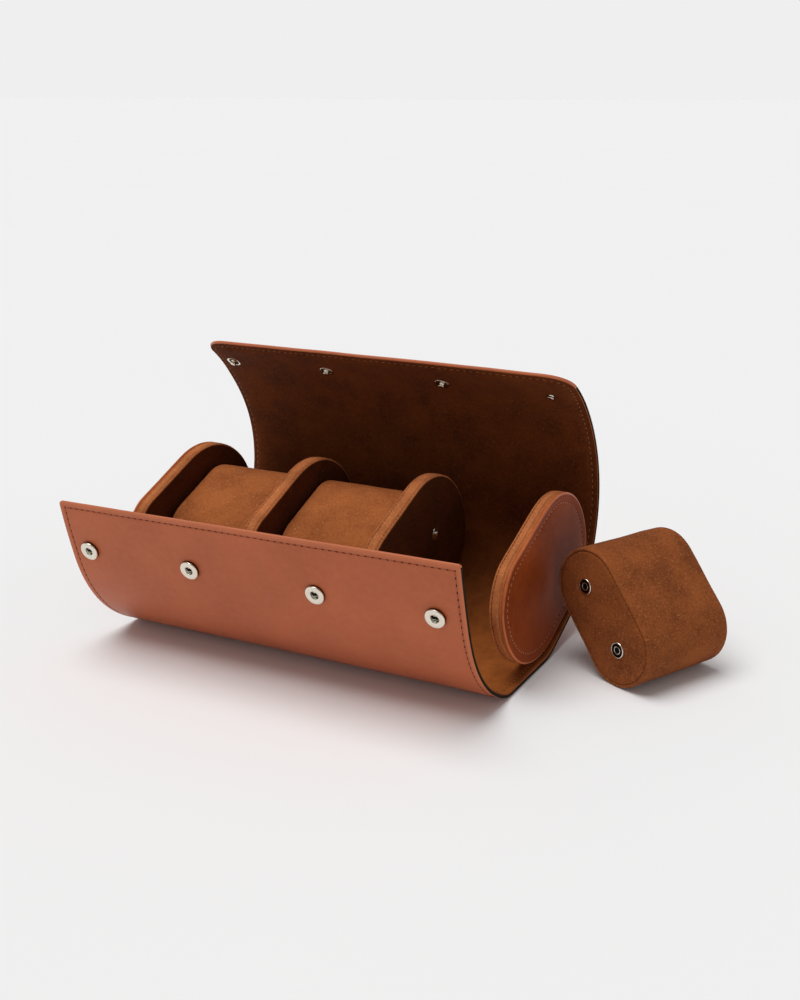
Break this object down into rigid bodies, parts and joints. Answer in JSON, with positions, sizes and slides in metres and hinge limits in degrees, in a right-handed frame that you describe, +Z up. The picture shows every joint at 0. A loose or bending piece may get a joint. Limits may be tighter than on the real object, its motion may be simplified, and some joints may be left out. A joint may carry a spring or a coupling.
{
  "type": "watch roll",
  "caption": "Open leather watch roll with a curled, suede-lined wrap, upright dividers, snap-in watch cushions and snap fasteners along both flaps.",
  "frame": {"origin": "on the flat strip under the wrap that the roll rests on, midway along the roll", "axes": "+X along the roll towards the end where the loose cushion leans, +Y to the back, towards the tall rear flap, +Z up"},
  "size_m": [0.3031, 0.175, 0.144],
  "materials": {
    "leather": "smooth tan leather with a low sheen",
    "lining_suede": "matt brown suede",
    "divider_suede": "matt brown suede",
    "cushion_suede": "matt brown suede",
    "divider_board": "stiff board covered in matt brown suede",
    "foam": "open-cell foam, hidden inside the cover",
    "steel": "polished nickel-plated steel"
  },
  "bodies": {
    "base": {"wrap_base": "leather", "lining_base": "lining_suede", "left_divider_rim": "divider_suede", "left_divider_board": "divider_board", "inner_divider_1_rim": "divider_suede", "inner_divider_1_board": "divider_board", "inner_divider_2_rim": "divider_suede", "inner_divider_2_board": "divider_board", "right_divider_rim": "divider_suede", "right_divider_board": "divider_board", "left_divider_facing": "leather", "right_divider_facing": "leather", "slot_1_stud_front": "steel", "slot_1_stud_rear": "steel", "slot_2_stud_front": "steel", "slot_2_stud_rear": "steel", "slot_3_stud_front": "steel", "slot_3_stud_rear": "steel"},
    "front_lower": {"wrap_front_lower": "leather", "lining_front_lower": "lining_suede"},
    "front_middle": {"wrap_front_middle": "leather", "lining_front_middle": "lining_suede"},
    "front_upper": {"wrap_front_upper": "leather", "lining_front_upper": "lining_suede", "front_socket_1": "steel", "front_socket_2": "steel", "front_socket_3": "steel", "front_socket_4": "steel"},
    "rear_lower": {"wrap_rear_lower": "leather", "lining_rear_lower": "lining_suede"},
    "rear_middle": {"wrap_rear_middle": "leather", "lining_rear_middle": "lining_suede"},
    "rear_upper": {"wrap_rear_upper": "leather", "lining_rear_upper": "lining_suede", "rear_stud_1": "steel", "rear_stud_2": "steel", "rear_stud_3": "steel", "rear_stud_4": "steel"},
    "cushion_1": {"cushion_1_cover": "cushion_suede", "cushion_1_core": "foam", "cushion_1_snap_panel": "cushion_suede", "cushion_1_plain_panel": "cushion_suede", "cushion_1_socket_front": "steel", "cushion_1_socket_rear": "steel"},
    "cushion_2": {"cushion_2_cover": "cushion_suede", "cushion_2_core": "foam", "cushion_2_snap_panel": "cushion_suede", "cushion_2_plain_panel": "cushion_suede", "cushion_2_socket_front": "steel", "cushion_2_socket_rear": "steel"},
    "cushion_3": {"cushion_3_cover": "cushion_suede", "cushion_3_core": "foam", "cushion_3_snap_panel": "cushion_suede", "cushion_3_plain_panel": "cushion_suede", "cushion_3_socket_front": "steel", "cushion_3_socket_rear": "steel"}
  },
  "joints": [
    {"name": "front_fold", "type": "hinge", "parent": "base", "child": "front_lower", "pos_m": [0, -0.0056, 0.0038], "axis": [1, 0, 0], "range_deg": [-33.5, 0]},
    {"name": "front_fold_middle", "type": "hinge", "parent": "front_lower", "child": "front_middle", "pos_m": [0, -0.0537, 0.02294], "axis": [1, 0, 0], "range_deg": [-20.5, 0]},
    {"name": "front_fold_upper", "type": "hinge", "parent": "front_middle", "child": "front_upper", "pos_m": [0, -0.06679, 0.04372], "axis": [1, 0, 0], "range_deg": [-30.5, 0]},
    {"name": "rear_fold", "type": "hinge", "parent": "base", "child": "rear_lower", "pos_m": [0, 0.07448, 0.0276], "axis": [-1, 0, 0], "range_deg": [-14.5, 0]},
    {"name": "rear_fold_middle", "type": "hinge", "parent": "rear_lower", "child": "rear_middle", "pos_m": [0, 0.08808, 0.05347], "axis": [-1, 0, 0], "range_deg": [-20, 0]},
    {"name": "rear_fold_upper", "type": "hinge", "parent": "rear_middle", "child": "rear_upper", "pos_m": [0, 0.08651, 0.08508], "axis": [-1, 0, 0], "range_deg": [-9, 0]},
    {"name": "cushion_1_lift", "type": "slide", "parent": "base", "child": "cushion_1", "axis": [0, -0.3746, 0.9272], "range_m": [0, 0.12]},
    {"name": "cushion_2_lift", "type": "slide", "parent": "base", "child": "cushion_2", "axis": [0, -0.3746, 0.9272], "range_m": [0, 0.12]},
    {"name": "cushion_3_slide", "type": "slide", "parent": "base", "child": "cushion_3", "axis": [1, 0, 0], "range_m": [0, 0.12]}
  ],
  "couplings": [
    {"joint": "front_fold_middle", "follows": "front_fold", "ratio": 0.6119},
    {"joint": "front_fold_upper", "follows": "front_fold", "ratio": 0.9104},
    {"joint": "rear_fold_middle", "follows": "rear_fold", "ratio": 1.379},
    {"joint": "rear_fold_upper", "follows": "rear_fold", "ratio": 0.6206}
  ]
}
